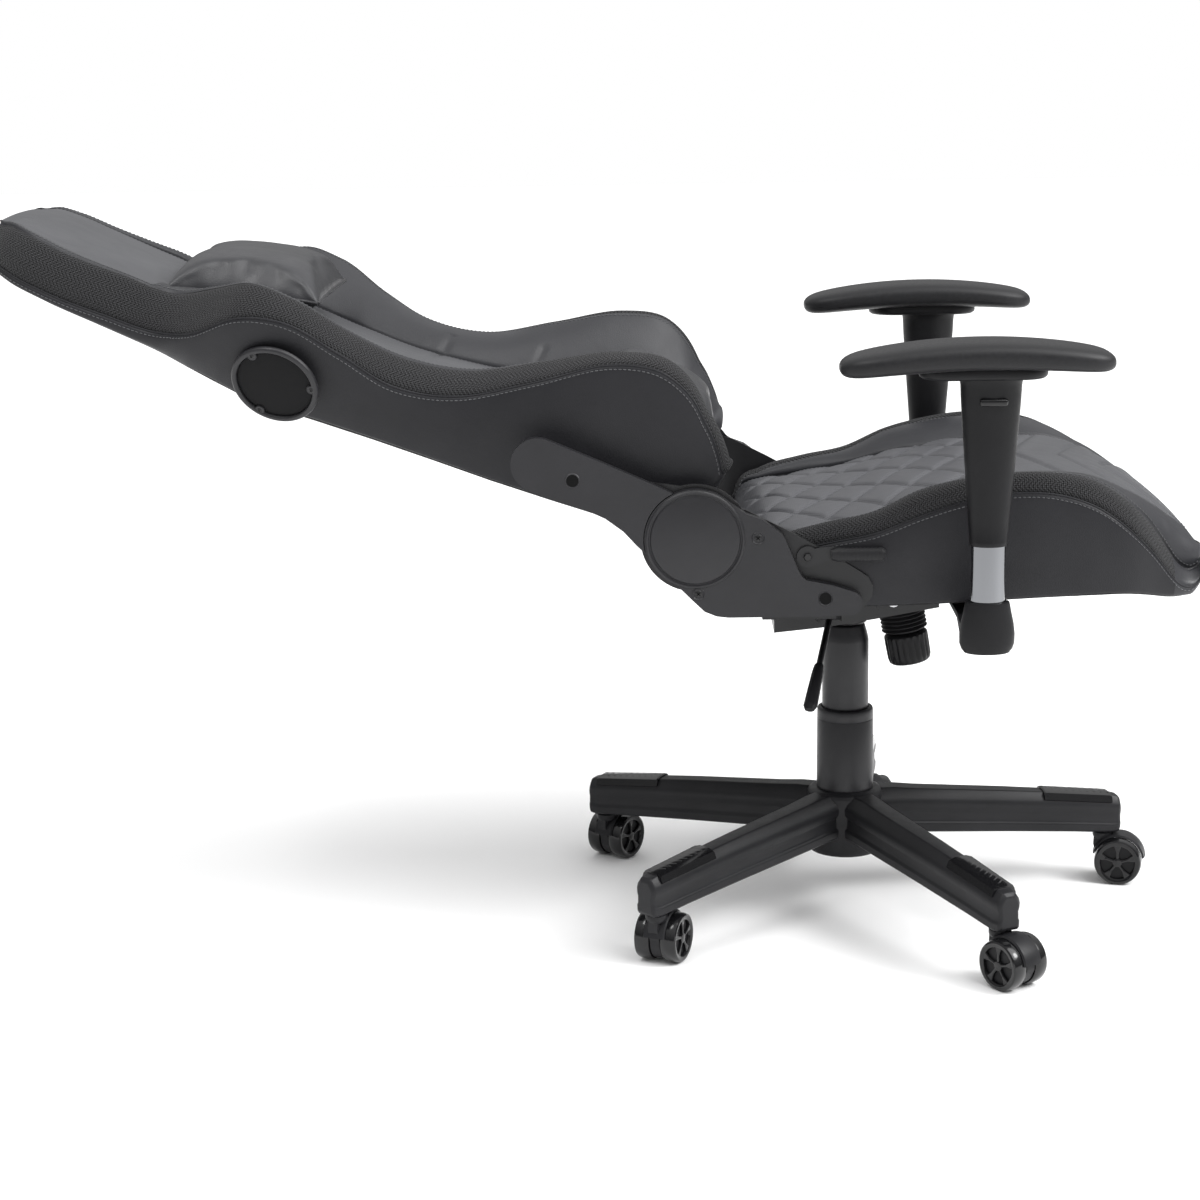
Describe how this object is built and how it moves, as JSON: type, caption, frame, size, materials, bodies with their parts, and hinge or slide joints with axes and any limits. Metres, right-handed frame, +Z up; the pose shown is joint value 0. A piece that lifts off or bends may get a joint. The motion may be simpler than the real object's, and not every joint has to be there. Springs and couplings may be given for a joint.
{
  "type": "gaming chair",
  "caption": "Reclining gaming chair with a winged back, star base on twin-wheel casters, gas lift, rocking seat, sliding armrests and loose head and lumbar cushions.",
  "frame": {"origin": "on the floor under the middle of the chair's box", "axes": "+X the way the sitter faces, +Y to the sitter's left, +Z up"},
  "size_m": [1.3705, 0.704, 0.8452],
  "materials": {
    "nylon": "satin",
    "gloss_plastic": "gloss",
    "black_plastic": "matte",
    "black_steel": "satin",
    "chrome": "polished",
    "steel": "satin",
    "rubber": "matte",
    "upholstery": "satin",
    "pad_skin": "matte"
  },
  "bodies": {
    "base": {"star_base": "nylon", "column_tube": "black_steel", "column_cover_lower": "black_plastic"},
    "caster_1": {"caster_hood_1": "nylon"},
    "wheel_1a": {"wheel_1a": "gloss_plastic"},
    "wheel_1b": {"wheel_1b": "gloss_plastic"},
    "caster_2": {"caster_hood_2": "nylon"},
    "wheel_2a": {"wheel_2a": "gloss_plastic"},
    "wheel_2b": {"wheel_2b": "gloss_plastic"},
    "caster_3": {"caster_hood_3": "nylon"},
    "wheel_3a": {"wheel_3a": "gloss_plastic"},
    "wheel_3b": {"wheel_3b": "gloss_plastic"},
    "caster_4": {"caster_hood_4": "nylon"},
    "wheel_4a": {"wheel_4a": "gloss_plastic"},
    "wheel_4b": {"wheel_4b": "gloss_plastic"},
    "caster_5": {"caster_hood_5": "nylon"},
    "wheel_5a": {"wheel_5a": "gloss_plastic"},
    "wheel_5b": {"wheel_5b": "gloss_plastic"},
    "lift": {"piston_rod": "chrome", "column_cover_upper": "black_plastic"},
    "mechanism": {"mechanism_housing": "black_steel", "tilt_pivot_pin": "steel", "spring_bellows": "rubber"},
    "tension": {"tension_knob": "black_plastic"},
    "lever_pivot": {"lever_bush": "black_plastic"},
    "height_lever": {"height_lever_rod": "black_steel", "lever_paddle": "black_plastic"},
    "seat": {"seat_plate": "black_steel", "seat_frame": "black_steel", "seat_cushion": "upholstery", "arm_bracket_right": "black_steel", "arm_bracket_left": "black_steel", "arm_post_right": "chrome", "arm_post_left": "chrome", "arm_collar_right": "black_plastic", "arm_collar_left": "black_plastic", "recliner_inner_right": "black_steel", "recliner_inner_left": "black_steel", "recliner_cover_right": "black_plastic", "recliner_cover_left": "black_plastic"},
    "armrest_right": {"arm_sleeve_right": "black_plastic", "arm_pad_right": "pad_skin"},
    "button_right": {"arm_button_right": "gloss_plastic"},
    "armrest_left": {"arm_sleeve_left": "black_plastic", "arm_pad_left": "pad_skin"},
    "button_left": {"arm_button_left": "gloss_plastic"},
    "release": {"recline_lever": "black_steel", "recline_grip": "rubber"},
    "back": {"back_cushion": "upholstery", "back_shell": "black_plastic", "back_frame": "black_steel", "torsion_tube": "black_steel", "back_arm_right": "black_plastic", "back_arm_left": "black_plastic", "head_pillow": "upholstery", "lumbar_cushion": "upholstery", "speaker_ring_right": "black_plastic", "speaker_ring_left": "black_plastic", "speaker_disc_right": "gloss_plastic", "speaker_disc_left": "gloss_plastic"}
  },
  "joints": [
    {"name": "caster_swivel_1", "type": "hinge", "parent": "base", "child": "caster_1", "pos_m": [-0.00334, 0.14969, 0.06], "axis": [0, 0, 1], "continuous": true},
    {"name": "wheel_spin_1a", "type": "hinge", "parent": "caster_1", "child": "wheel_1a", "pos_m": [0.00851, 0.16642, 0.029], "axis": [-0.8161, 0.5779, 0], "continuous": true},
    {"name": "wheel_spin_1b", "type": "hinge", "parent": "caster_1", "child": "wheel_1b", "pos_m": [0.00851, 0.16642, 0.029], "axis": [-0.8161, 0.5779, 0], "continuous": true},
    {"name": "caster_swivel_2", "type": "hinge", "parent": "base", "child": "caster_2", "pos_m": [0.05906, -0.23558, 0.06], "axis": [0, 0, 1], "continuous": true},
    {"name": "wheel_spin_2a", "type": "hinge", "parent": "caster_2", "child": "wheel_2a", "pos_m": [0.06737, -0.21683, 0.029], "axis": [-0.9143, 0.4051, 0], "continuous": true},
    {"name": "wheel_spin_2b", "type": "hinge", "parent": "caster_2", "child": "wheel_2b", "pos_m": [0.06737, -0.21683, 0.029], "axis": [-0.9143, 0.4051, 0], "continuous": true},
    {"name": "caster_swivel_3", "type": "hinge", "parent": "base", "child": "caster_3", "pos_m": [0.44476, -0.29529, 0.06], "axis": [0, 0, 1], "continuous": true},
    {"name": "wheel_spin_3a", "type": "hinge", "parent": "caster_3", "child": "wheel_3a", "pos_m": [0.45752, -0.31133, 0.029], "axis": [0.7826, 0.6225, 0], "continuous": true},
    {"name": "wheel_spin_3b", "type": "hinge", "parent": "caster_3", "child": "wheel_3b", "pos_m": [0.45752, -0.31133, 0.029], "axis": [0.7826, 0.6225, 0], "continuous": true},
    {"name": "caster_swivel_4", "type": "hinge", "parent": "base", "child": "caster_4", "pos_m": [0.62073, 0.05308, 0.06], "axis": [0, 0, 1], "continuous": true},
    {"name": "wheel_spin_4a", "type": "hinge", "parent": "caster_4", "child": "wheel_4a", "pos_m": [0.64058, 0.04795, 0.029], "axis": [0.2504, 0.9681, 0], "continuous": true},
    {"name": "wheel_spin_4b", "type": "hinge", "parent": "caster_4", "child": "wheel_4b", "pos_m": [0.64058, 0.04795, 0.029], "axis": [0.2504, 0.9681, 0], "continuous": true},
    {"name": "caster_swivel_5", "type": "hinge", "parent": "base", "child": "caster_5", "pos_m": [0.34379, 0.32809, 0.06], "axis": [0, 0, 1], "continuous": true},
    {"name": "wheel_spin_5a", "type": "hinge", "parent": "caster_5", "child": "wheel_5a", "pos_m": [0.3508, 0.30883, 0.029], "axis": [0.9397, 0.342, 0], "continuous": true},
    {"name": "wheel_spin_5b", "type": "hinge", "parent": "caster_5", "child": "wheel_5b", "pos_m": [0.3508, 0.30883, 0.029], "axis": [0.9397, 0.342, 0], "continuous": true},
    {"name": "lift_height", "type": "slide", "parent": "base", "child": "lift", "axis": [0, 0, 1], "range_m": [-0.09, 0]},
    {"name": "seat_swivel", "type": "hinge", "parent": "lift", "child": "mechanism", "pos_m": [0.293, 0, 0.35], "axis": [0, 0, 1], "continuous": true},
    {"name": "tension_turn", "type": "hinge", "parent": "mechanism", "child": "tension", "pos_m": [0.3585, 0, 0.3735], "axis": [-0.1736, 0, 0.9848], "continuous": true},
    {"name": "height_lever_lift", "type": "hinge", "parent": "mechanism", "child": "lever_pivot", "pos_m": [0.269, -0.084, 0.3795], "axis": [-1, 0, 0], "range_deg": [0, 12], "stiffness_Nm_per_rad": 1, "springref_deg": -14.32},
    {"name": "tilt_lock_push", "type": "slide", "parent": "lever_pivot", "child": "height_lever", "axis": [0.18, 0.9294, 0.3223], "range_m": [0, 0.01]},
    {"name": "rock_tilt", "type": "hinge", "parent": "mechanism", "child": "seat", "pos_m": [0.343, 0, 0.392], "axis": [0, -1, 0], "range_deg": [0, 14], "stiffness_Nm_per_rad": 250, "springref_deg": -20.05},
    {"name": "back_recline", "type": "hinge", "parent": "seat", "child": "back", "pos_m": [0.107, 0, 0.505], "axis": [0, 1, 0], "range_deg": [0, 65]},
    {"name": "recline_lever_lift", "type": "hinge", "parent": "seat", "child": "release", "pos_m": [0.231, -0.2525, 0.482], "axis": [0, -1, 0], "range_deg": [0, 20], "stiffness_Nm_per_rad": 1, "springref_deg": -14.32},
    {"name": "arm_height_right", "type": "slide", "parent": "seat", "child": "armrest_right", "axis": [0, 0, 1], "range_m": [-0.06, 0]},
    {"name": "arm_button_press_right", "type": "slide", "parent": "armrest_right", "child": "button_right", "axis": [0, 0, 1], "range_m": [0, 0.006], "stiffness_N_per_m": 100, "springref_m": -0.001},
    {"name": "arm_height_left", "type": "slide", "parent": "seat", "child": "armrest_left", "axis": [0, 0, 1], "range_m": [-0.06, 0]},
    {"name": "arm_button_press_left", "type": "slide", "parent": "armrest_left", "child": "button_left", "axis": [0, 0, 1], "range_m": [0, 0.006], "stiffness_N_per_m": 100, "springref_m": -0.001}
  ]
}
